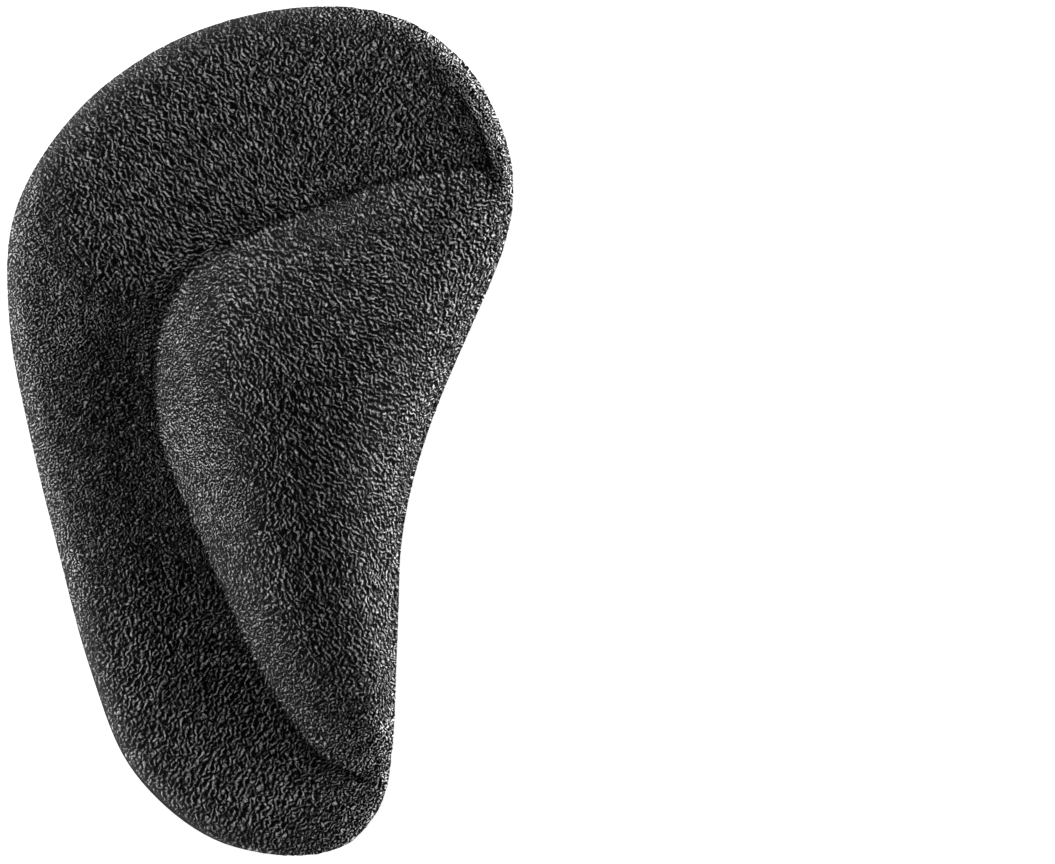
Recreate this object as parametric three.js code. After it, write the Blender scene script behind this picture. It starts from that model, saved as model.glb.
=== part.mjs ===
// Arch support insole for the left foot: a short-pile fabric cover on a moulded foam body.
// Millimetres, +Z up. The sole lies on z = 0, +Y points to the toes and +X to the inner (medial) side.
import * as THREE from "three";

// Driving sizes
const ARCH_HEIGHT = 18; // tallest point of the arch above the floor
const COVER_THICKNESS = 1.2;
const GLUE_LINE = 0.2; // gap between the cover and the body
const EDGE_HEIGHT = 1.8; // top of the cover at its trimmed edge
const FLANGE_HEIGHT = 0.5; // thin foam lip that the cover's edge sits on
const FLANGE_WIDTH = 0.4; // how far that lip stands out past the cover
const RIM_WIDTH = 3.2; // band along the edge that can turn up into a lip
const MEDIAL_BULGE = 3.0; // how full the arch stays before it drops to the medial edge
const TIP_BULGE = 2.4; // the same at its two tips
const STEEPEST = 2.2; // most that a slope may stretch the cover's thickness, measured upright

// How finely the surface is divided
const STEPS_PER_SECTION = 5;
const FLANK_RINGS = 5; // from the crest of the arch down to its crease
const FLOOR_RINGS = 5; // from the crease out to the rim
const RIM_RINGS = 3;
const RINGS = FLANK_RINGS + FLOOR_RINGS + RIM_RINGS;

// Sections across the pad, from the toe end to the heel end. Each one runs from the lateral edge over the
// crease at the foot of the arch and its crest to the medial edge. rise is a share of ARCH_HEIGHT. At the
// two tips the section folds up into one line, so lateral and medial are the same point.
const SECTIONS = [
  { lateral: [39.6, 45.0], crease: [35.8, 41.4], crest: [31.4, 36.0], rise: 0.35, medial: [39.6, 45.0] },
  { lateral: [33.1, 58.1], crease: [28.6, 41.4], crest: [28.0, 32.8], rise: 0.37, medial: [40.3, 37.0] },
  { lateral: [21.5, 66.1], crease: [20.8, 39.8], crest: [23.8, 28.8], rise: 0.46, medial: [39.0, 30.0] },
  { lateral: [4.0, 67.2], crease: [10.5, 36.2], crest: [19.5, 24.5], rise: 0.59, medial: [36.7, 23.7] },
  { lateral: [-13.9, 62.0], crease: [-1.5, 31.2], crest: [15.2, 19.5], rise: 0.74, medial: [33.9, 17.3] },
  { lateral: [-29.0, 51.0], crease: [-10.3, 26.0], crest: [11.0, 14.0], rise: 0.89, medial: [31.0, 10.7] },
  { lateral: [-38.9, 35.0], crease: [-15.2, 17.5], crest: [8.0, 8.0], rise: 0.98, medial: [28.1, 3.7] },
  { lateral: [-39.7, 17.0], crease: [-16.5, 7.5], crest: [6.6, 1.0], rise: 1.0, medial: [25.8, -3.0] },
  { lateral: [-36.6, 0.0], crease: [-14.9, -3.0], crest: [6.1, -7.0], rise: 0.95, medial: [23.9, -10.0] },
  { lateral: [-32.2, -18.0], crease: [-9.5, -16.2], crest: [6.4, -16.5], rise: 0.83, medial: [22.5, -18.5] },
  { lateral: [-26.8, -38.0], crease: [-3.0, -31.2], crest: [9.0, -28.0], rise: 0.66, medial: [22.1, -28.5] },
  { lateral: [-19.9, -54.2], crease: [3.2, -43.0], crest: [12.2, -38.0], rise: 0.49, medial: [21.7, -39.0] },
  { lateral: [-5.6, -65.5], crease: [9.4, -51.0], crest: [14.6, -45.0], rise: 0.34, medial: [21.4, -46.5] },
  { lateral: [12.3, -66.2], crease: [14.4, -54.0], crest: [15.9, -48.6], rise: 0.27, medial: [20.9, -51.8] },
  { lateral: [19.1, -59.4], crease: [17.3, -54.8], crest: [16.5, -50.4], rise: 0.26, medial: [19.1, -59.4] },
];

// Slowly changing sizes of the pad, at the sections where they are known. floor is the thickness beside the
// crease, dish how much thicker the pad is towards its outer edge, roll the width of its rounded edge and lip
// the height of the turned-up rim.
const FORM = [
  { section: 0, floor: 3.2, dish: 0.1, roll: 2.4, lip: 2.0 },
  { section: 1, floor: 3.1, dish: 0.2, roll: 2.8, lip: 1.7 },
  { section: 2.5, floor: 3.1, dish: 0.6, roll: 5.0, lip: 0.0 },
  { section: 5, floor: 3.5, dish: 1.6, roll: 6.8, lip: 0.0 },
  { section: 7, floor: 3.8, dish: 2.3, roll: 7.8, lip: 0.0 },
  { section: 10, floor: 3.6, dish: 2.3, roll: 7.6, lip: 0.0 },
  { section: 12.5, floor: 2.8, dish: 0.6, roll: 4.4, lip: 0.0 },
  { section: 14, floor: 2.7, dish: 0.1, roll: 2.4, lip: 0.7 },
];

const LAST = SECTIONS.length - 1;
const HALF = LAST * STEPS_PER_SECTION; // stations along the lateral half of the outline
const STATIONS = 2 * HALF; // all the way round: toe tip, lateral half, heel tip, medial half
const MEDIAL_FOOT = 0.6; // where the flank rings end on the medial side, from crest to edge
const TIP_BLEND = 1.3; // sections over which the medial slope takes over from the tip's

const smooth = (x) => THREE.MathUtils.smoothstep(x, 0, 1);
const mix = THREE.MathUtils.lerp;

// Section number, 0 to LAST, of a station on either half
const sectionOf = (station) => Math.min(station, STATIONS - station) / STEPS_PER_SECTION;

// A smooth closed loop through one point for each section and back along the medial half
function loop(lateralPoint, medialPoint) {
  const out = SECTIONS.map(lateralPoint);
  const back = SECTIONS.slice(1, LAST).reverse().map(medialPoint);
  return new THREE.CatmullRomCurve3([...out, ...back], true, "centripetal");
}

const plan = ([x, y]) => new THREE.Vector3(x, y, 0);
const medialFoot = (row) => plan(row.crest).lerp(plan(row.medial), MEDIAL_FOOT);
const crestPoint = (row) => plan(row.crest).setZ(row.rise * ARCH_HEIGHT);
const edgeLoop = loop((row) => plan(row.lateral), (row) => plan(row.medial));
const footLoop = loop((row) => plan(row.crease), medialFoot);
const crestLoop = loop(crestPoint, crestPoint);

// The sizes in FORM at a section number
function formAt(section) {
  const next = Math.max(1, FORM.findIndex((row) => row.section >= section));
  const [a, b] = [FORM[next - 1], FORM[next]];
  const share = smooth((section - a.section) / (b.section - a.section));
  const size = (name) => mix(a[name], b[name], share);
  return { floor: size("floor"), dish: size("dish"), roll: size("roll"), lip: size("lip") };
}

// The crest, foot and edge of the surface at a station, with the pad's sizes there
function sectionLine(station) {
  const along = station / STATIONS;
  const crest = crestLoop.getPoint(Math.min(along, 1 - along));
  const foot = footLoop.getPoint(along);
  const outer = edgeLoop.getPoint(along);
  const inward = foot.clone().sub(outer).normalize();
  const edge = outer.clone().addScaledVector(inward, FLANGE_WIDTH);
  const section = sectionOf(station);
  const fromTip = smooth(Math.min(section, LAST - section) / TIP_BLEND);
  const medial = station > HALF ? fromTip : 0;
  const band = foot.distanceTo(edge);
  const rim = Math.min(RIM_WIDTH, band / 2);
  return { crest, foot, edge, medial, band, rim, form: formAt(section) };
}

// Share of the way from the foot to the edge, for a ring beyond the flank
function bandShare(ring, { band, rim }) {
  const rimShare = rim / band;
  if (ring <= FLOOR_RINGS) return (1 - rimShare) * (1 - Math.cos((Math.PI / 2) * (ring / FLOOR_RINGS)));
  return 1 - rimShare * (1 - (ring - FLOOR_RINGS) / RIM_RINGS);
}

// Height of the dished floor and its rolled edge, a share of the way from the crease to the edge
function floorHeight(share, { form, band, rim }) {
  const full = form.floor + form.dish * smooth(share);
  const rolled = 1 - share ** Math.max(1.5, (2 * band) / form.roll);
  const fromEdge = (1 - share) * band;
  const lip = form.lip * Math.sin(Math.PI * Math.min(1, fromEdge / rim)) ** 2;
  return EDGE_HEIGHT + (full - EDGE_HEIGHT) * rolled + lip;
}

// One point of the top surface: ring 0 is on the crest, the last ring on the cover's edge
function topPoint(line, ring) {
  const onFlank = ring <= FLANK_RINGS;
  const flank = Math.sin((Math.PI / 2) * Math.min(1, ring / FLANK_RINGS));
  const band = onFlank ? 0 : bandShare(ring - FLANK_RINGS, line);
  const point = onFlank
    ? line.crest.clone().lerp(line.foot, flank)
    : line.foot.clone().lerp(line.edge, band);
  const lateralHeight = onFlank
    ? mix(floorHeight(0, line), line.crest.z, 1 - flank ** 2)
    : floorHeight(band, line);
  const across = mix(flank * MEDIAL_FOOT, 1, band);
  const bulge = mix(TIP_BULGE, MEDIAL_BULGE, line.medial);
  const medialHeight = mix(EDGE_HEIGHT, line.crest.z, 1 - across ** bulge);
  return point.setZ(mix(lateralHeight, medialHeight, line.medial));
}

// Vertex number of a ring at a station. Both halves share the crest, so its stations fold over.
function vertex(station, ring) {
  const turn = station % STATIONS;
  if (ring === 0) return Math.min(turn, STATIONS - turn);
  return HALF + 1 + (ring - 1) * STATIONS + turn;
}

// Triangles of the whole surface, facing up
function surfaceTriangles() {
  const triangles = [];
  for (let station = 0; station < STATIONS; station++) {
    for (let ring = 0; ring < RINGS; ring++) {
      const [a, b] = [vertex(station, ring), vertex(station, ring + 1)];
      const [c, d] = [vertex(station + 1, ring + 1), vertex(station + 1, ring)];
      triangles.push([a, b, c], [a, c, d]);
    }
  }
  return triangles;
}

// The top surface, as points by vertex number
function topSurface() {
  const points = [];
  for (let station = 0; station < STATIONS; station++) {
    const line = sectionLine(station);
    for (let ring = 0; ring <= RINGS; ring++) points[vertex(station, ring)] ??= topPoint(line, ring);
  }
  return points;
}

// How much a slope stretches an upright measure of the cover's thickness, by vertex number
function stretchOf(points, triangles) {
  const surface = new THREE.BufferGeometry().setFromPoints(points);
  surface.setIndex(triangles.flat());
  surface.computeVertexNormals();
  const normals = surface.getAttribute("normal");
  return points.map((_, i) => 1 / Math.max(normals.getZ(i), 1 / STEEPEST));
}

const reversed = (triangles, shift) => triangles.map(([a, b, c]) => [a + shift, c + shift, b + shift]);

// A strip of triangles between two closed rows of vertices, facing out where the first row is the upper one
function wall(upper, lower) {
  return upper.flatMap((a, i) => {
    const j = (i + 1) % upper.length;
    return [[a, lower[i], lower[j]], [a, lower[j], upper[j]]];
  });
}

function solid(name, points, triangles, material) {
  const geometry = new THREE.BufferGeometry().setFromPoints(points);
  geometry.setIndex(triangles.flat());
  geometry.computeVertexNormals();
  const mesh = new THREE.Mesh(geometry, material);
  mesh.name = name;
  return mesh;
}

const top = topSurface();
const skin = surfaceTriangles();
const stretch = stretchOf(top, skin);
const underside = top.map((p, i) => {
  const lowest = FLANGE_HEIGHT + GLUE_LINE;
  return p.clone().setZ(Math.max(lowest, p.z - COVER_THICKNESS * stretch[i]));
});
const stations = Array.from({ length: STATIONS }, (_, station) => station);
const edgeRow = stations.map((station) => vertex(station, RINGS));

// Short-pile fabric, one sheet pressed over the whole top
function topCover() {
  const shift = top.length;
  const triangles = [...skin, ...reversed(skin, shift), ...wall(edgeRow, edgeRow.map((i) => i + shift))];
  const material = new THREE.MeshStandardMaterial({ color: 0x2c2c2c, roughness: 0.95, metalness: 0 });
  return solid("top_cover", [...top, ...underside], triangles, material);
}

// Moulded foam, flat underneath, with a thin flange around the cover's edge
function foamBody() {
  const bed = underside.map((p) => p.clone().setZ(p.z - GLUE_LINE));
  const outline = stations.map((station) => edgeLoop.getPoint(station / STATIONS));
  const flange = outline.map((p) => p.clone().setZ(FLANGE_HEIGHT));
  const flangeRow = stations.map((i) => bed.length + i);
  const soleRow = stations.map((i) => bed.length + STATIONS + i);
  const sole = THREE.ShapeUtils.triangulateShape(outline.map((p) => new THREE.Vector2(p.x, p.y)), []);
  const triangles = [
    ...skin,
    ...wall(edgeRow, flangeRow),
    ...wall(flangeRow, soleRow),
    ...reversed(sole, bed.length + STATIONS),
  ];
  const material = new THREE.MeshStandardMaterial({ color: 0x1b1b1c, roughness: 0.6, metalness: 0 });
  return solid("foam_body", [...bed, ...flange, ...outline], triangles, material);
}

const insole = new THREE.Group();
insole.name = "arch_support_insole";
insole.add(topCover(), foamBody());

// The middle of the sole's outline lies on the origin
const middle = new THREE.Box3().setFromObject(insole).getCenter(new THREE.Vector3());
insole.position.set(-middle.x, -middle.y, 0);
insole.updateMatrixWorld(true);

export default insole;
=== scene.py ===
"""Arch support insole for the left foot: a black velour cover bonded over a moulded foam pad.

Metres, in the frame of the CAD: the sole on z = 0, +Y to the toes, +X to the inner side with the arch.
"""

import math

import bpy
import numpy as np
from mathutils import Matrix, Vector
from mathutils.kdtree import KDTree


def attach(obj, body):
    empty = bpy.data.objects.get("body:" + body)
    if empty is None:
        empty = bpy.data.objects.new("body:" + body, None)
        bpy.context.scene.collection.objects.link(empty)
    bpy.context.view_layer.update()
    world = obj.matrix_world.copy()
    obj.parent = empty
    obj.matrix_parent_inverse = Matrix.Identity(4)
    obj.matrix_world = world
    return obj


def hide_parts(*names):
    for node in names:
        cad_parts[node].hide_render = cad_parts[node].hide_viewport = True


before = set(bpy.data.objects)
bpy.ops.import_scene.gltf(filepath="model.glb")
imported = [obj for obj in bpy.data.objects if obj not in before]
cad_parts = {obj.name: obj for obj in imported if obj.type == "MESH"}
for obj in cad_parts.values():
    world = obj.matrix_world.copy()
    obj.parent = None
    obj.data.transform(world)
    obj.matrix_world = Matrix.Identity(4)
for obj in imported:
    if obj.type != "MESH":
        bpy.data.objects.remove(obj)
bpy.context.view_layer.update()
MM = 0.001
MERGE_REACH = 0.002 * MM

# The photograph's frame, and the pad's length and middle in it
IMAGE = (1055, 864)
PAD_LENGTH = 135  # mm
PAD_LENGTH_PX = 849
PIXELS_PER_MM = PAD_LENGTH_PX / PAD_LENGTH
PAD_CENTRE_PX = (260.3, 431.2)
CAMERA_DISTANCE = 2.5
SENSOR_WIDTH = 36  # mm
FARTHEST_SEEN = 20

# The cover's sheet: cells across and along, and its hem turned down round the edge
COLUMNS, ROWS = 222, 420
DROP_HEIGHT = 60 * MM  # where the sheet is held before it is laid on the pad
END_ROWS = 10  # rows that crowd together at the toe and heel ends, where the outline runs along them
END_REACH = 1.8 * MM
END_GAP = 0.03 * MM
EDGE_LEVEL = 1.25 * MM  # middle of the cover's edge
EDGE_INSET = 0.16 * MM
HEM = [  # mm, ring by ring: how far out it is turned, and how far where it is trimmed close
    {"out": 0.6, "trimmed": 0.05, "height": 1.15}, {"out": 0.3, "trimmed": 0.0, "height": 0.78},
]
HEM_CLOTH = 0.5  # mm of cloth in each ring
BARE_SIDE = 232  # degrees from +X: the edge that faces this way has its foam flange bare
BARE_SPREAD = 27
UNDERSIDE_NORMAL = -0.15  # the underside's faces have less than this as their normal's z

# Map for baking: the cloth laid flat, with its hidden underside small beside it
BAKE_MAP = "OFBake"
UNDERSIDE_SHARE = 0.4
UNDERSIDE_PLACE = (66, -38)  # mm on the cloth
TURN_SPREAD = 1.04  # how far the narrow strip between the hem and the underside is drawn out
MAP_MARGIN = 1.0

# The cloth over the slopes, in mm
CLOTH_STRETCH = 0.5  # share of a flank's extra length that the cloth gave by stretching
LEVEL_LINE = -22  # x where the pad is level and the cloth was laid on first
LEVEL_INSET = 7  # least distance of that line from the lateral edge
RIM_STEPS = 400  # lines along the pad on which the length down the rim is summed
RIM_FULL = 0.5  # rim share from which all of that length counts

# The pile's ridges, in mm on the cloth
RIDGE_SPACING = 0.78  # from one matted ridge of pile to the next
SPECKLE_SPACING = 0.54  # the same where the pile stands open, on the flanks and the rim
RIDGE_HEIGHT = 0.12
WAVES = 1.15  # ridges side by side in one patch of the pile
WANDER_SIZE = 1.1
WANDER = 0.55  # how far a ridge strays from the lay
STRAIGHTEST = 0.9  # how closely the ridges keep to the lay where it is combed best
FULL_RIDGE = 0.33  # strength of the pattern from which a ridge is full
RIDGE_SWINGS = (0.12, 0.5)  # how far the faintest and the full ridges swing from their middle
MATTED_ORDERS = (0.3, 0.5)  # between these orders of the lay the open pile turns to matted ridges
MATTED_MOST = 0.85
FUZZ_SPACING = 0.24  # tufts of fibre, drawn coarser than single fibres so that they show
FUZZ_WEIGHT = 1.2  # height of the fuzz and of the broad patches, where a ridge is 1
PATCH_SIZE = 2.2
PATCH_WEIGHT = 0.35
TIP_HEIGHTS = (0.98, 1.82)  # summed heights at which the tips begin to pale, and are palest
TIP_SHARPNESS = 3.6
BUMP_DEPTH = 0.2
BUMP_STRENGTHS = (0.9, 0.45)  # where the pile stands open, and where it is brushed smooth

# Where the pile stands open and paler tips are painted on as sheen, where it is brushed smooth, and where
# shade is painted into creases and onto the top of the arch, with places in mm
RIM_WIDTH = 4.0  # band along the edge where the pile stands higher and painted sheen pales its tips
RIM_UNCOMBED = 0.35  # share of its order that the lay loses at the edge
RIM_BRUSHED = 1.1  # how smooth the pile is brushed on the lateral side of that band
STEEP_FALL = 0.5  # 1 less the normal's z on a slope that counts as steep
FLANK_SHEEN = 0.42  # painted sheen on a steep flank, where the rim's edge is 1
FLANK_END = 1 / 3  # rim share at which the brushed flank of the arch ends
BRUSHED_LOSS = 0.5  # share of its height and of its pattern that brushed pile loses
BRUSHED_TIPS = 0.042  # share of pale tips that it shows evenly instead
FLAT_END = {"x": 13, "y": -64, "reach": 9, "share": 0.55}  # heel corner, where the rim's pile stands lower and less painted sheen pales it
CREASE_SHADE_ROUNDS = 14  # reach over which a crease is looked for to paint its shade, in cells
CREASE_SHADE_DEPTH = 0.25  # mm below its surroundings where the painted shade in a crease is darkest
CREASE_SHADE_FLANKS = (0.12, 0.32)  # between these flank shares the painted crease shade fades out
CREST_SHADE_HEIGHTS = (8, 13)  # mm: between these painted shade darkens the top of the arch more and more
CREST_SHADE = 0.045  # how much less of the pile's height shows as pale tips there, as painted shade
PILE_DATA = {
    "cloth": "FLOAT_VECTOR", "lay": "FLOAT_VECTOR", "order": "FLOAT", "flank": "FLOAT", "rim": "FLOAT",
    "crease_shade": "FLOAT", "brushed": "FLOAT", "crest_shade": "FLOAT", "standing": "FLOAT",
}
RIDGE_DATA = ("cloth", "lay", "order")  # what the ridges follow, in the mesh and in the material

# Lay of the pile as it was brushed: place in mm, direction in degrees from +X, and how well it is combed
LAY = [
    {"x": -15, "y": 56, "deg": 128, "order": 0.5}, {"x": -9, "y": 50, "deg": 122, "order": 0.8},
    {"x": 4, "y": 52, "deg": 105, "order": 0.5}, {"x": 14, "y": 51, "deg": 92, "order": 0.5},
    {"x": 21, "y": 48, "deg": 80, "order": 0.5}, {"x": 34, "y": 50, "deg": 118, "order": 0.4},
    {"x": -27, "y": 46, "deg": 125, "order": 0.6}, {"x": -15, "y": 40, "deg": 122, "order": 0.9},
    {"x": 1, "y": 41, "deg": 116, "order": 1}, {"x": 13, "y": 41, "deg": 94, "order": 0.4},
    {"x": -34, "y": 30, "deg": 78, "order": 0.3}, {"x": -24, "y": 30, "deg": 112, "order": 0.7},
    {"x": -12, "y": 34, "deg": 135, "order": 1}, {"x": -30, "y": 18, "deg": 82, "order": 0.2},
    {"x": -9, "y": 27, "deg": 30, "order": 0.2}, {"x": 4, "y": 31, "deg": 150, "order": 0.3},
    {"x": 15, "y": 33, "deg": 130, "order": 0.3}, {"x": 26, "y": 36, "deg": 130, "order": 0.6},
    {"x": 4, "y": 22, "deg": 135, "order": 0.7}, {"x": 18, "y": 22, "deg": 160, "order": 0.6},
    {"x": 28, "y": 24, "deg": 115, "order": 0.6}, {"x": 2, "y": 15, "deg": 115, "order": 0.8},
    {"x": 12, "y": 14, "deg": 125, "order": 0.8}, {"x": 20, "y": 5, "deg": 142, "order": 0.6},
    {"x": 2, "y": 1, "deg": 90, "order": 0.5}, {"x": 9, "y": -3, "deg": 115, "order": 0.8},
    {"x": 14, "y": -9, "deg": 135, "order": 0.6}, {"x": 5, "y": -18, "deg": 92, "order": 0.7},
    {"x": 9, "y": -28, "deg": 108, "order": 0.8}, {"x": 13, "y": -38, "deg": 110, "order": 0.6},
    {"x": -13, "y": 14, "deg": 20, "order": 0.3}, {"x": -9, "y": -1, "deg": 170, "order": 0.2},
    {"x": -4, "y": -14, "deg": 45, "order": 0.2}, {"x": 2, "y": -31, "deg": 15, "order": 0.2},
    {"x": 8, "y": -42, "deg": 40, "order": 0.2}, {"x": -22, "y": 8, "deg": 78, "order": 0.5},
    {"x": -32, "y": 4, "deg": 60, "order": 0.4}, {"x": -16, "y": -10, "deg": 100, "order": 0.4},
    {"x": -26, "y": -14, "deg": 66, "order": 0.4}, {"x": -12, "y": -23, "deg": 84, "order": 0.5},
    {"x": -14, "y": -36, "deg": 74, "order": 0.6}, {"x": -4, "y": -44, "deg": 69, "order": 0.7},
    {"x": 2, "y": -55, "deg": 72, "order": 0.7}, {"x": 13, "y": -57, "deg": 45, "order": 0.3},
]
LAY_REACH = 6.0  # mm over which one direction runs into the next
LAY_LEAST = 1e-6  # weight that every direction keeps far away

# Pressed grooves, in mm: inside the lip at the inner toe corner, and where the arch runs out at the heel
GROOVES = [
    [
        {"x": 23.0, "y": 60.3, "depth": 0.0}, {"x": 28.9, "y": 55.9, "depth": 0.2},
        {"x": 32.7, "y": 51.7, "depth": 0.3}, {"x": 35.3, "y": 47.1, "depth": 0.3},
        {"x": 36.3, "y": 42.5, "depth": 0.45},
    ],
    [
        {"x": 8.5, "y": -46.5, "depth": 0.0}, {"x": 11.5, "y": -50.3, "depth": 0.1},
        {"x": 13.8, "y": -53.0, "depth": 0.15}, {"x": 16.2, "y": -55.3, "depth": 0.2},
    ],
]
GROOVE_WIDTH = 1.0

# The foam pad, in mm
FOAM_EDGE = 0.12  # width of its rounded edges
FOAM_CORNER = 1.0  # radians: edges that turn more than this are rounded
FOAM_GRAIN = 0.5  # drawn coarser than the skin's own, so that it shows
FOAM_GRAIN_DEPTH = 0.1
FOAM_BUMP = 0.5

# The studio, in metres and watts
FLOOR_SIZE = 8
FLOOR_GAP = 0.03 * MM
FLOOR_GLOW = 0.7
SKY_LIGHT = 0.125  # strength of the sky's light on the pad
SKY_SEEN = 1.0  # and of the sky itself, behind the floor's edge
LIGHTS = [
    {"name": "inner_light", "place": (0.78, 0.14, 0.085), "wide": 0.45, "tall": 0.2, "power": 12.8},
    {"name": "outer_light", "place": (-0.75, -0.22, 0.11), "wide": 0.5, "tall": 0.1, "power": 10.9},
    {"name": "toe_light", "place": (-0.2, 0.78, 0.22), "wide": 0.5, "tall": 0.2, "power": 6.8},
]


def srgb(hex_colour):
    """A hex colour as linear RGBA."""
    parts = [int(hex_colour[i:i + 2], 16) / 255 for i in (0, 2, 4)]
    return (*[p / 12.92 if p <= 0.04045 else ((p + 0.055) / 1.055) ** 2.4 for p in parts], 1)


def node(tree, kind, inputs=None, **settings):
    """Adds a node with its settings, and gives its inputs their values or links."""
    made = tree.nodes.new(kind)
    for name, value in settings.items():
        setattr(made, name, value)
    for socket, value in (inputs or {}).items():
        if isinstance(value, bpy.types.NodeSocket):
            tree.links.new(value, made.inputs[socket])
        else:
            made.inputs[socket].default_value = value
    return made


def only(piece):
    """Selects this object and nothing else."""
    bpy.ops.object.select_all(action="DESELECT")
    piece.select_set(True)
    bpy.context.view_layer.objects.active = piece


def apply_modifier(piece, kind, **settings):
    only(piece)
    modifier = piece.modifiers.new(kind.lower(), kind)
    for name, value in settings.items():
        setattr(modifier, name, value)
    bpy.ops.object.modifier_apply(modifier=modifier.name)


def merge_points(piece):
    """Joins the points that lie at one place, and leaves the piece in edit mode with all of it selected."""
    only(piece)
    bpy.ops.object.mode_set(mode="EDIT")
    bpy.ops.mesh.select_all(action="SELECT")
    bpy.ops.mesh.remove_doubles(threshold=MERGE_REACH)


def merged_copy(name, node_name):
    """A copy of a CAD node with its triangles merged and joined into quads."""
    piece = bpy.data.objects.new(name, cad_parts[node_name].data.copy())
    bpy.context.collection.objects.link(piece)
    merge_points(piece)
    bpy.ops.mesh.tris_convert_to_quads(face_threshold=math.pi, shape_threshold=math.pi)
    bpy.ops.object.mode_set(mode="OBJECT")
    piece.data.materials.clear()
    return piece


def points_of(mesh):
    flat = np.empty(len(mesh.vertices) * 3)
    mesh.vertices.foreach_get("co", flat)
    return flat.reshape(-1, 3)


def set_points(mesh, points):
    mesh.vertices.foreach_set("co", np.ascontiguousarray(points).reshape(-1))
    mesh.update()


def set_attribute(mesh, name, kind, values):
    field = "vector" if kind == "FLOAT_VECTOR" else "value"
    made = mesh.attributes.new(name, kind, "POINT")
    made.data.foreach_set(field, np.ascontiguousarray(values).reshape(-1))


def read_attribute(mesh, name):
    made = mesh.attributes[name]
    vector = made.data_type == "FLOAT_VECTOR"
    values = np.empty(len(made.data) * (3 if vector else 1))
    made.data.foreach_get("vector" if vector else "value", values)
    return values.reshape(-1, 3) if vector else values


def camera_above():
    """A camera straight above, with the pad where the photograph has it."""
    lens = bpy.data.cameras.new("camera")
    lens.sensor_width = SENSOR_WIDTH
    lens.lens = CAMERA_DISTANCE * SENSOR_WIDTH / (IMAGE[0] / PIXELS_PER_MM * MM)
    lens.clip_end = FARTHEST_SEEN
    camera = bpy.data.objects.new("camera", lens)
    camera.location = (
        (IMAGE[0] / 2 - PAD_CENTRE_PX[0]) / PIXELS_PER_MM * MM,
        (PAD_CENTRE_PX[1] - IMAGE[1] / 2) / PIXELS_PER_MM * MM,
        CAMERA_DISTANCE,
    )
    bpy.context.collection.objects.link(camera)
    bpy.context.scene.camera = camera


def row_places(low, high):
    """Rows from heel to toe, closer together in the last stretch at each end."""
    ends = END_REACH * (np.arange(END_ROWS) / END_ROWS) ** 2
    middle = np.linspace(low + END_REACH, high - END_REACH, ROWS + 1 - 2 * END_ROWS)
    return np.concatenate([low + ends, middle, high - ends[::-1]])


def row_ends(support, rows):
    """Lateral and medial edge of the cover at each row."""
    ends = np.empty((len(rows), 2))
    for j, y in enumerate(rows):
        for side, start in enumerate((-1.0, 1.0)):
            _, place, _, _ = support.ray_cast(Vector((start, y, EDGE_LEVEL)), Vector((-start, 0, 0)))
            ends[j, side] = place.x
    return ends


def arc_lengths(x, z):
    """Distance along each row from its lateral end."""
    steps = np.hypot(np.diff(x, axis=1), np.diff(z, axis=1))
    return np.concatenate([np.zeros((len(x), 1)), np.cumsum(steps, axis=1)], axis=1)


def draped_rows(shell):
    """The cover's upper side as a grid of points: rows across the pad, spaced evenly over its slopes."""
    support = bpy.data.objects.new("support", shell.data.copy())
    bpy.context.collection.objects.link(support)
    apply_modifier(support, "SUBSURF", levels=3, render_levels=3)
    toe_heel = points_of(support.data)[:, 1]
    rows = row_places(toe_heel.min() + END_GAP, toe_heel.max() - END_GAP)
    ends = row_ends(support, rows)
    ends += np.array([EDGE_INSET, -EDGE_INSET])
    x = ends[:, :1] + (ends[:, 1:] - ends[:, :1]) * np.linspace(0, 1, COLUMNS + 1)
    y = np.repeat(rows[:, None], COLUMNS + 1, axis=1)
    bpy.ops.object.select_all(action="DESELECT")
    bpy.ops.mesh.primitive_grid_add(x_subdivisions=COLUMNS, y_subdivisions=ROWS, size=1)
    sheet = bpy.context.object
    for _ in range(2):  # laid on once to measure the slopes, and once more with its columns spread over them
        set_points(sheet.data, np.stack([x, y, np.full_like(x, DROP_HEIGHT)], -1))
        apply_modifier(
            sheet, "SHRINKWRAP", target=support, wrap_method="PROJECT",
            use_project_z=True, use_negative_direction=True, use_positive_direction=False,
        )
        z = points_of(sheet.data)[:, 2].reshape(x.shape)
        run = arc_lengths(x, z)
        even = run[:, -1:] * np.linspace(0, 1, COLUMNS + 1)
        spread = np.stack([np.interp(even[j], run[j], x[j]) for j in range(len(x))])
        x, last = spread, x
    bpy.data.objects.remove(sheet)
    bpy.data.objects.remove(support)
    return np.stack([last, y, z], -1)


def groove_depth(grid):
    """Depth in mm of the pressed grooves, at each point of the sheet."""
    plan = grid[:, :, :2] / MM
    depth = np.zeros(plan.shape[:2])
    for a, b in [step for groove in GROOVES for step in zip(groove, groove[1:])]:
        start = np.array([a["x"], a["y"]])
        run = np.array([b["x"], b["y"]]) - start
        share = np.clip((plan - start) @ run / (run @ run), 0, 1)
        away = np.linalg.norm(plan - start - share[:, :, None] * run, axis=2)
        here = (a["depth"] + (b["depth"] - a["depth"]) * share) * np.exp(-(away / GROOVE_WIDTH) ** 2)
        depth = np.maximum(depth, here)
    return depth


def normals_of(grid):
    normal = np.cross(np.gradient(grid, axis=1), np.gradient(grid, axis=0))
    return normal / np.linalg.norm(normal, axis=2)[:, :, None]


def outward_of(grid):
    """Direction in plan that points out of the sheet, at each of its edge points."""
    out = np.zeros(grid.shape[:2] + (2,))
    for column, turn in ((0, 1), (-1, -1)):
        along = np.gradient(grid[:, column, :2], axis=0)
        along /= np.linalg.norm(along, axis=1)[:, None]
        out[:, column] += turn * np.stack([-along[:, 1], along[:, 0]], -1)
    out[0, :, 1] -= 1
    out[-1, :, 1] += 1
    length = np.linalg.norm(out, axis=2, keepdims=True)
    return out / np.where(length > 0, length, 1)


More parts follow.
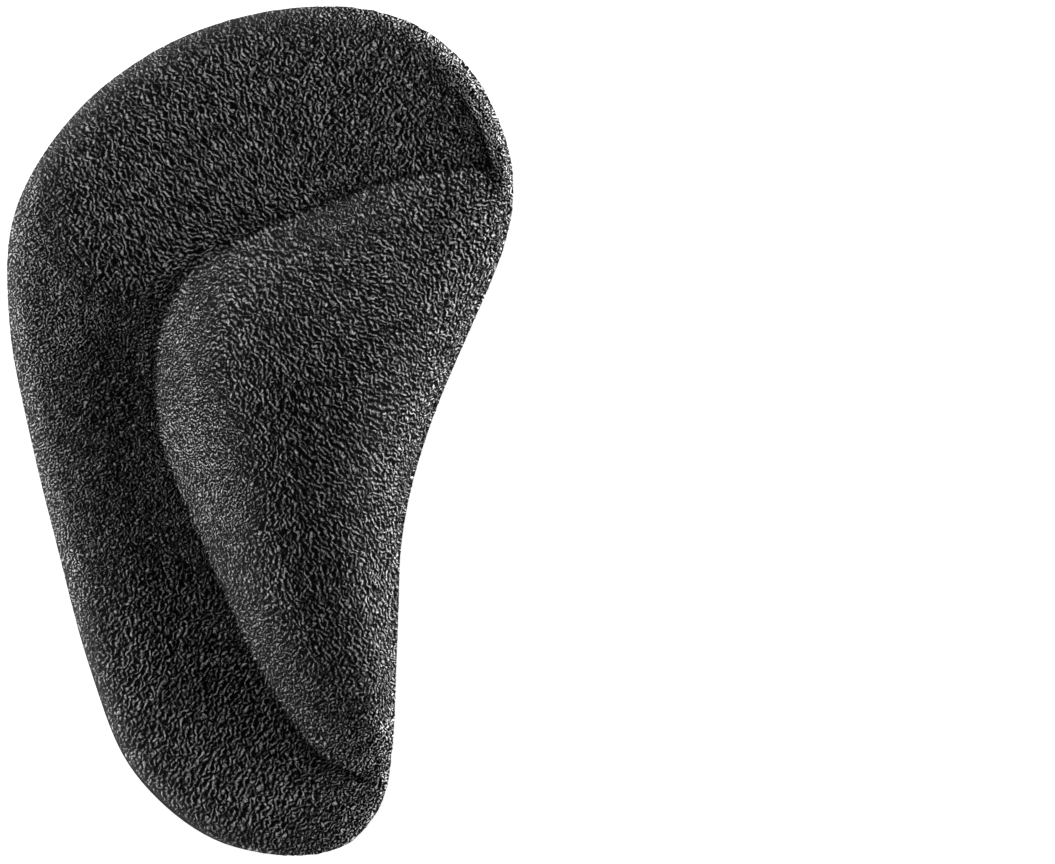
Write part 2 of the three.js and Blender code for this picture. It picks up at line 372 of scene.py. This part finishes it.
def rim_share(grid):
    """1 at the edge of the sheet, falling away over RIM_WIDTH inside it."""
    plan = grid[:, :, :2] / MM
    edge = np.concatenate([plan[:, 0], plan[-1], plan[::-1, -1], plan[0, ::-1]])
    tree = KDTree(len(edge))
    for k, place in enumerate(edge):
        tree.insert((*place, 0), k)
    tree.balance()
    away = [tree.find((*place, 0))[2] for place in plan.reshape(-1, 2)]
    from_end = np.hypot(plan[:, :, 0] - FLAT_END["x"], plan[:, :, 1] - FLAT_END["y"]) / FLAT_END["reach"]
    flat = FLAT_END["share"] * np.exp(-from_end ** 2 / 2)
    return np.exp(-np.reshape(away, plan.shape[:2]) / RIM_WIDTH) * (1 - flat)


def flank_sheen_share(grid):
    """Painted sheen on a slope, paling the pile's tips: 0 where the pad is level, FLANK_SHEEN from about 38
    degrees up.
    """
    return np.clip((1 - normals_of(grid)[:, :, 2]) / STEEP_FALL, 0, FLANK_SHEEN)


def brushed_share(grid, edge_share):
    """How smoothly the pile is brushed, 0 to about 1: on the arch's flanks, and along the lateral rim."""
    steep = np.clip((1 - normals_of(grid)[:, :, 2]) / STEEP_FALL, 0, 1)
    x = grid[:, :, 0]
    lateral = (x[:, -1:] - x) / (x[:, -1:] - x[:, :1])
    return steep * np.clip(1 - edge_share / FLANK_END, 0, 1) + RIM_BRUSHED * edge_share * lateral


def crease_shade_share(grid):
    """Painted shade for the creases, 0 to 1: how far each point lies below its surroundings, fading out on
    steep slopes.
    """
    height = grid[:, :, 2] / MM
    near = height.copy()
    for _ in range(CREASE_SHADE_ROUNDS):
        near = np.pad(near, 1, mode="reflect", reflect_type="odd")
        near = (near[:-2, 1:-1] + near[2:, 1:-1] + near[1:-1, :-2] + near[1:-1, 2:]) / 4
    below = np.clip((near - height) / CREASE_SHADE_DEPTH, 0, 1)
    return below * np.interp(flank_sheen_share(grid), CREASE_SHADE_FLANKS, (1, 0))


def rim_length(grid, edge_share):
    """Length in mm that the rim's fall along the pad adds to the cloth, from the middle out to each point."""
    x, y, _ = np.moveaxis(grid, 2, 0) / MM
    normal = normals_of(grid)
    longer = (np.hypot(1, normal[:, :, 1] / normal[:, :, 2]) - 1) * np.clip(edge_share / RIM_FULL, 0, 1)
    lines = np.linspace(x.min(), x.max(), RIM_STEPS)
    summed = [np.interp(lines, x[j], longer[j], left=0, right=0) for j in range(len(x))]
    summed = np.cumsum(np.array(summed) * np.gradient(y[:, :1], axis=0), axis=0)
    summed -= summed[len(x) // 2]
    return np.stack([np.interp(x[j], lines, summed[j]) for j in range(len(x))])


def cloth_places(grid, edge_share):
    """Place on the flat cloth, in mm: the plan, drawn out where the cloth runs down a slope."""
    x, y, z = np.moveaxis(grid, 2, 0) / MM
    run = arc_lengths(x, z)
    level = np.minimum(np.maximum(LEVEL_LINE, x[:, 0] + LEVEL_INSET), (x[:, 0] + x[:, -1]) / 2)
    start = np.array([np.interp(level[j], x[j], run[j]) for j in range(len(x))])
    across = run - start[:, None] + level[:, None] - x
    kept = 1 - CLOTH_STRETCH
    return np.stack([x + kept * across, y + kept * rim_length(grid, edge_share), np.zeros_like(y)], -1)


def lay_of_pile(x, y):
    """Direction of the pile at places in mm, as the vector of twice its angle, and its order."""
    heading = np.zeros(x.shape, complex)
    order, total = np.zeros(x.shape), np.zeros(x.shape)
    for row in LAY:
        away = np.hypot(x - row["x"], y - row["y"]) / LAY_REACH
        near = np.exp(-away ** 2 / 2) + LAY_LEAST
        heading += near * np.exp(2j * math.radians(row["deg"]))
        order += near * row["order"]
        total += near
    return np.stack([heading.real, heading.imag, np.zeros_like(order)], -1), order / total


def turn_hem(grid, cloth, out, ring):
    """Turns the hem's rings out and down round the edge, less far where the flange is bare."""
    facing = np.degrees(np.arctan2(out[:, :, 1], out[:, :, 0]))
    bare = np.exp(-(((facing - BARE_SIDE + 180) % 360 - 180) / BARE_SPREAD) ** 2)
    for k, turn in enumerate(HEM, 1):
        here = ring == k
        reach = turn["out"] + (turn["trimmed"] - turn["out"]) * bare[here]
        grid[here, :2] += out[here] * reach[:, None] * MM
        grid[here, 2] = turn["height"] * MM
        cloth[here, :2] += out[here] * k * HEM_CLOTH


def upper_side(grid):
    """The cover's upper side and hem as one mesh, with what its pile needs to know at each point."""
    edge = len(HEM)
    rim = ((edge, edge), (edge, edge), (0, 0))
    edge_share = rim_share(grid)
    # the flank share paints sheen onto slopes and the crease share paints shade into creases; the rim share
    # both raises the pile and paints sheen
    shares = {
        "rim": edge_share, "flank": flank_sheen_share(grid), "crease_shade": crease_shade_share(grid),
        "brushed": brushed_share(grid, edge_share),
    }
    pile = {name: np.pad(share, rim[:2], mode="edge") for name, share in shares.items()}
    pile["cloth"] = np.pad(cloth_places(grid, edge_share), rim, mode="edge")
    out = np.pad(outward_of(grid), rim, mode="edge")
    grid = np.pad(grid, rim, mode="edge")
    j, i = np.indices(grid.shape[:2])
    ring = np.maximum.reduce([edge - i, i - COLUMNS - edge, edge - j, j - ROWS - edge, np.zeros_like(i)])
    turn_hem(grid, pile["cloth"], out, ring)
    pile["lay"], order = lay_of_pile(grid[:, :, 0] / MM, grid[:, :, 1] / MM)
    pile["order"] = order * (1 - RIM_UNCOMBED * pile["rim"])
    # painted shade on the top of the arch, rising with height
    pile["crest_shade"] = np.interp(grid[:, :, 2] / MM, CREST_SHADE_HEIGHTS, (0, 1))
    raised = (1 + pile["rim"]) * (1 - BRUSHED_LOSS * pile["brushed"])
    pile["standing"] = np.where(ring < edge, raised, 0)
    bpy.ops.object.select_all(action="DESELECT")
    bpy.ops.mesh.primitive_grid_add(
        x_subdivisions=COLUMNS + 2 * edge, y_subdivisions=ROWS + 2 * edge, size=1,
    )
    cover = bpy.context.object
    cover.name = "velour_cover"
    set_points(cover.data, grid)
    for name, kind in PILE_DATA.items():
        set_attribute(cover.data, name, kind, pile[name])
    set_attribute(cover.data, "upper", "FLOAT", np.ones(ring.shape))
    merge_points(cover)  # the hem's rings meet in one point at each corner of the sheet
    bpy.ops.object.mode_set(mode="OBJECT")
    return cover


def pile_ridges(tree, read):
    """Crests of the matted pile, 0 to 1: curling along the lay on the level, small and unsorted on flanks."""
    stray = node(tree, "ShaderNodeTexNoise", {"Vector": read["cloth"], "Scale": 1 / WANDER_SIZE, "Detail": 1})
    stray = node(
        tree, "ShaderNodeVectorMath", {0: stray.outputs["Color"], 1: (0.5, 0.5, 0.5)},
        operation="SUBTRACT",
    )
    place = node(
        tree, "ShaderNodeVectorMath",
        {0: stray.outputs["Vector"], 1: (2 * WANDER,) * 3, 2: read["cloth"]}, operation="MULTIPLY_ADD",
    ).outputs["Vector"]
    twice = node(tree, "ShaderNodeSeparateXYZ", {0: read["lay"]}).outputs
    twice = node(tree, "ShaderNodeMath", {0: twice[1], 1: twice[0]}, operation="ARCTAN2").outputs["Value"]
    across = node(
        tree, "ShaderNodeMath", {0: twice, 1: 0.5, 2: math.pi / 2}, operation="MULTIPLY_ADD",
    ).outputs["Value"]
    combed = node(
        tree, "ShaderNodeMath", {0: read["order"], 1: STRAIGHTEST}, operation="MULTIPLY",
    ).outputs["Value"]
    crests = []
    for spacing in (RIDGE_SPACING, SPECKLE_SPACING):
        wave = node(
            tree, "ShaderNodeTexGabor",
            {"Vector": place, "Scale": 1 / (WAVES * spacing), "Frequency": WAVES,
             "Anisotropy": combed, "Orientation": across},
            gabor_type="2D",
        )
        turn = node(
            tree, "ShaderNodeMath", {0: wave.outputs["Phase"], 1: 2 * math.pi}, operation="MULTIPLY",
        ).outputs["Value"]
        crest = node(tree, "ShaderNodeMath", {0: turn}, operation="COSINE").outputs["Value"]
        swing = node(
            tree, "ShaderNodeMapRange",
            {"Value": wave.outputs["Intensity"], "From Min": 0, "From Max": FULL_RIDGE,
             "To Min": RIDGE_SWINGS[0], "To Max": RIDGE_SWINGS[1]},
        ).outputs["Result"]
        crests.append(node(
            tree, "ShaderNodeMath", {0: crest, 1: swing, 2: 0.5}, operation="MULTIPLY_ADD",
        ).outputs["Value"])
    matted = node(
        tree, "ShaderNodeMapRange",
        {"Value": read["order"], "From Min": MATTED_ORDERS[0], "From Max": MATTED_ORDERS[1],
         "To Min": 0, "To Max": MATTED_MOST},
    ).outputs["Result"]
    ridges = node(tree, "ShaderNodeMix", {0: matted, 2: crests[1], 3: crests[0]}).outputs[0]
    return ridges, place


def raise_pile(cover):
    """Lifts the matted ridges out of the sheet, as deep as its cells can carry them."""
    tree = bpy.data.node_groups.new("raised_pile", "GeometryNodeTree")
    for way in ("INPUT", "OUTPUT"):
        tree.interface.new_socket("Geometry", in_out=way, socket_type="NodeSocketGeometry")
    mesh = node(tree, "NodeGroupInput").outputs[0]
    read = {
        name: node(
            tree, "GeometryNodeInputNamedAttribute", {"Name": name}, data_type=PILE_DATA[name],
        ).outputs[0]
        for name in (*RIDGE_DATA, "standing")
    }
    ridges, _ = pile_ridges(tree, read)
    lift = node(tree, "ShaderNodeMath", {0: ridges, 1: 0.5}, operation="SUBTRACT").outputs[0]
    lift = node(tree, "ShaderNodeMath", {0: lift, 1: read["standing"]}, operation="MULTIPLY").outputs[0]
    lift = node(tree, "ShaderNodeMath", {0: lift, 1: RIDGE_HEIGHT * MM}, operation="MULTIPLY").outputs[0]
    up = node(tree, "GeometryNodeInputNormal").outputs[0]
    offset = node(tree, "ShaderNodeVectorMath", {0: up, "Scale": lift}, operation="SCALE").outputs[0]
    raised = node(tree, "GeometryNodeSetPosition", {"Geometry": mesh, "Offset": offset}).outputs[0]
    node(tree, "NodeGroupOutput", {0: raised})
    apply_modifier(cover, "NODES", node_group=tree)
    bpy.data.node_groups.remove(tree)


def close_underneath(cover, underside):
    """Joins the cover's underside to its hem, so that the cover is one closed cloth."""
    only(underside)
    bpy.ops.object.mode_set(mode="EDIT")
    bpy.ops.mesh.select_all(action="DESELECT")
    bpy.ops.object.mode_set(mode="OBJECT")
    for face in underside.data.polygons:
        face.select = face.normal.z > UNDERSIDE_NORMAL
    bpy.ops.object.mode_set(mode="EDIT")
    bpy.ops.mesh.delete(type="FACE")
    bpy.ops.object.mode_set(mode="OBJECT")
    only(cover)
    underside.select_set(True)
    bpy.ops.object.join()
    bpy.ops.object.mode_set(mode="EDIT")
    bpy.ops.mesh.select_mode(type="EDGE")
    bpy.ops.mesh.select_all(action="DESELECT")
    bpy.ops.mesh.select_non_manifold(
        use_wire=False, use_boundary=True, use_multi_face=False, use_non_contiguous=False, use_verts=False,
    )
    bpy.ops.mesh.bridge_edge_loops()
    bpy.ops.mesh.select_all(action="SELECT")
    bpy.ops.mesh.normals_make_consistent(inside=False)
    bpy.ops.object.mode_set(mode="OBJECT")


def map_for_baking(mesh):
    """Lays the upper side flat as cloth, and the faces that hold a point of the underside beside it."""
    vertex = np.empty(len(mesh.loops), int)
    mesh.loops.foreach_get("vertex_index", vertex)
    first = np.empty(len(mesh.polygons), int)
    mesh.polygons.foreach_get("loop_start", first)
    corners = np.diff(np.append(first, len(vertex)))
    upper = read_attribute(mesh, "upper")[vertex]
    on_top = np.repeat(np.minimum.reduceat(upper, first), corners)[:, None]
    spread = 1 + (TURN_SPREAD - 1) * upper[:, None]
    below = points_of(mesh)[vertex, :2] / MM * spread * UNDERSIDE_SHARE + UNDERSIDE_PLACE
    places = np.where(on_top > 0.5, read_attribute(mesh, "cloth")[vertex, :2], below)
    low = places.min(0) - MAP_MARGIN
    places = (places - low) / (places.max(0) + MAP_MARGIN - low).max()
    mesh.uv_layers.new(name=BAKE_MAP).uv.foreach_set("vector", places.astype(np.float32).reshape(-1))


def velour_cover():
    """The cover, draped over the CAD one, with its pile raised and its underside joined on."""
    shell = merged_copy("underside", "top_cover")
    grid = draped_rows(shell)
    grid[:, :, 2] -= groove_depth(grid) * MM
    cover = upper_side(grid)
    raise_pile(cover)
    close_underneath(cover, shell)
    map_for_baking(cover.data)
    return cover


def velour():
    """Short-pile polyester velour, brushed: black matted ridges with pale tips, a soft sheen, painted sheen
    on the rim and slopes, and painted shade in creases and on the arch's top.
    """
    made = bpy.data.materials.new("black_velour")
    made.use_nodes = True
    tree = made.node_tree
    shader = tree.nodes["Principled BSDF"]
    read = {
        name: node(tree, "ShaderNodeAttribute", attribute_name=name).outputs[
            "Vector" if PILE_DATA[name] == "FLOAT_VECTOR" else "Fac"
        ]
        for name in (*RIDGE_DATA, "flank", "rim", "crease_shade", "brushed", "crest_shade")
    }
    height, place = pile_ridges(tree, read)
    fuzz = node(
        tree, "ShaderNodeTexNoise", {"Vector": place, "Scale": 1 / FUZZ_SPACING, "Detail": 2},
    ).outputs["Fac"]
    patches = node(
        tree, "ShaderNodeTexNoise", {"Vector": read["cloth"], "Scale": 1 / PATCH_SIZE, "Detail": 1},
    ).outputs["Fac"]
    # fuzz and patches add to the height; the arch's top takes painted shade off it
    for part, weight in ((fuzz, FUZZ_WEIGHT), (patches, PATCH_WEIGHT), (read["crest_shade"], -CREST_SHADE)):
        height = node(
            tree, "ShaderNodeMath", {0: part, 1: weight, 2: height}, operation="MULTIPLY_ADD",
        ).outputs["Value"]
    tips = node(
        tree, "ShaderNodeMapRange",
        {"Value": height, "From Min": TIP_HEIGHTS[0], "From Max": TIP_HEIGHTS[1], "To Min": 0, "To Max": 1},
    ).outputs["Result"]
    tips = node(tree, "ShaderNodeMath", {0: tips, 1: TIP_SHARPNESS}, operation="POWER").outputs["Value"]
    smooth = node(
        tree, "ShaderNodeMath", {0: read["brushed"], 1: BRUSHED_LOSS}, operation="MULTIPLY",
    ).outputs["Value"]
    tips = node(tree, "ShaderNodeMix", {0: smooth, 2: tips, 3: BRUSHED_TIPS}).outputs[0]
    # painted sheen: the tips are painted paler along the rim and on steep slopes
    painted_sheen = node(
        tree, "ShaderNodeMath", {0: read["rim"], 1: read["flank"]}, operation="MAXIMUM",
    ).outputs["Value"]
    pale = node(
        tree, "ShaderNodeMix", {0: painted_sheen, 6: srgb("acacae"), 7: srgb("e6e6e8")}, data_type="RGBA",
    ).outputs[2]
    # painted shade: the tips turn dark grey in the creases
    pale = node(
        tree, "ShaderNodeMix", {0: read["crease_shade"], 6: pale, 7: srgb("383839")}, data_type="RGBA",
    ).outputs[2]
    colour = node(tree, "ShaderNodeMix", {0: tips, 6: srgb("010101"), 7: pale}, data_type="RGBA").outputs[2]
    relief = node(
        tree, "ShaderNodeMapRange",
        {"Value": read["brushed"], "From Min": 0, "From Max": 1,
         "To Min": BUMP_STRENGTHS[0], "To Max": BUMP_STRENGTHS[1]},
    ).outputs["Result"]
    bump = node(
        tree, "ShaderNodeBump", {"Strength": relief, "Distance": BUMP_DEPTH * MM, "Height": height},
    ).outputs["Normal"]
    tree.links.new(colour, shader.inputs["Base Color"])
    tree.links.new(bump, shader.inputs["Normal"])
    shader.inputs["Roughness"].default_value = 0.9
    shader.inputs["Specular IOR Level"].default_value = 0.03
    shader.inputs["Sheen Weight"].default_value = 0.02
    shader.inputs["Sheen Roughness"].default_value = 0.25
    return made


def foam_pad():
    """The moulded pad: the CAD body with its edges rounded and its slopes smoothed."""
    pad = merged_copy("foam_pad", "foam_body")
    apply_modifier(
        pad, "BEVEL", width=FOAM_EDGE * MM, segments=2, limit_method="ANGLE", angle_limit=FOAM_CORNER,
    )
    apply_modifier(pad, "SUBSURF", levels=1, render_levels=1)
    return pad


def moulded_foam():
    """Moulded polyurethane foam: a matt black skin with a fine even grain."""
    made = bpy.data.materials.new("moulded_polyurethane_foam")
    made.use_nodes = True
    tree = made.node_tree
    shader = tree.nodes["Principled BSDF"]
    place = node(tree, "ShaderNodeTexCoord").outputs["Object"]
    grain = node(
        tree, "ShaderNodeTexNoise", {"Vector": place, "Scale": 1 / (FOAM_GRAIN * MM), "Detail": 3},
    ).outputs["Fac"]
    colour = node(
        tree, "ShaderNodeMix", {0: grain, 6: srgb("242426"), 7: srgb("444447")}, data_type="RGBA",
    ).outputs[2]
    bump = node(
        tree, "ShaderNodeBump",
        {"Strength": FOAM_BUMP, "Distance": FOAM_GRAIN_DEPTH * MM, "Height": grain},
    ).outputs["Normal"]
    tree.links.new(colour, shader.inputs["Base Color"])
    tree.links.new(bump, shader.inputs["Normal"])
    shader.inputs["Roughness"].default_value = 0.7
    return made


def paper_floor():
    """A plain floor of matt white paper, which glows a little so that it stays white round the pad."""
    bpy.ops.object.select_all(action="DESELECT")
    bpy.ops.mesh.primitive_plane_add(size=FLOOR_SIZE, location=(0, 0, -FLOOR_GAP))
    floor = bpy.context.object
    floor.name = "floor"
    paper = bpy.data.materials.new("matt_white_paper")
    paper.use_nodes = True
    shader = paper.node_tree.nodes["Principled BSDF"]
    shader.inputs["Base Color"].default_value = srgb("f6f6f6")
    shader.inputs["Roughness"].default_value = 0.9
    shader.inputs["Specular IOR Level"].default_value = 0.1
    shader.inputs["Emission Color"].default_value = srgb("ffffff")
    shader.inputs["Emission Strength"].default_value = FLOOR_GLOW
    floor.data.materials.append(paper)


def studio_light():
    """Soft lights from the inner side, the outer side and the toes, under a faint even sky."""
    for row in LIGHTS:
        data = bpy.data.lights.new(row["name"], "AREA")
        data.shape = "RECTANGLE"
        data.size = row["wide"]
        data.size_y = row["tall"]
        data.energy = row["power"]
        light = bpy.data.objects.new(row["name"], data)
        light.location = row["place"]
        light.rotation_euler = Vector(row["place"]).to_track_quat("Z", "Y").to_euler()
        light.visible_camera = False
        bpy.context.collection.objects.link(light)
    sky = bpy.data.worlds.new("studio_sky")
    sky.use_nodes = True
    tree = sky.node_tree
    seen = node(tree, "ShaderNodeLightPath").outputs["Is Camera Ray"]
    strength = node(tree, "ShaderNodeMix", {0: seen, 2: SKY_LIGHT, 3: SKY_SEEN}).outputs[0]
    glow = tree.nodes["Background"]
    glow.inputs["Color"].default_value = srgb("ffffff")
    tree.links.new(strength, glow.inputs["Strength"])
    bpy.context.scene.world = sky
    bpy.context.scene.view_settings.view_transform = "Standard"


camera_above()

cover = velour_cover()
cover.data.materials.append(velour())
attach(cover, "root")
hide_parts("top_cover")

pad = foam_pad()
pad.data.materials.append(moulded_foam())
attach(pad, "root")
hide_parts("foam_body")

for piece in (cover, pad):
    only(piece)
    bpy.ops.object.shade_smooth()
paper_floor()
studio_light()
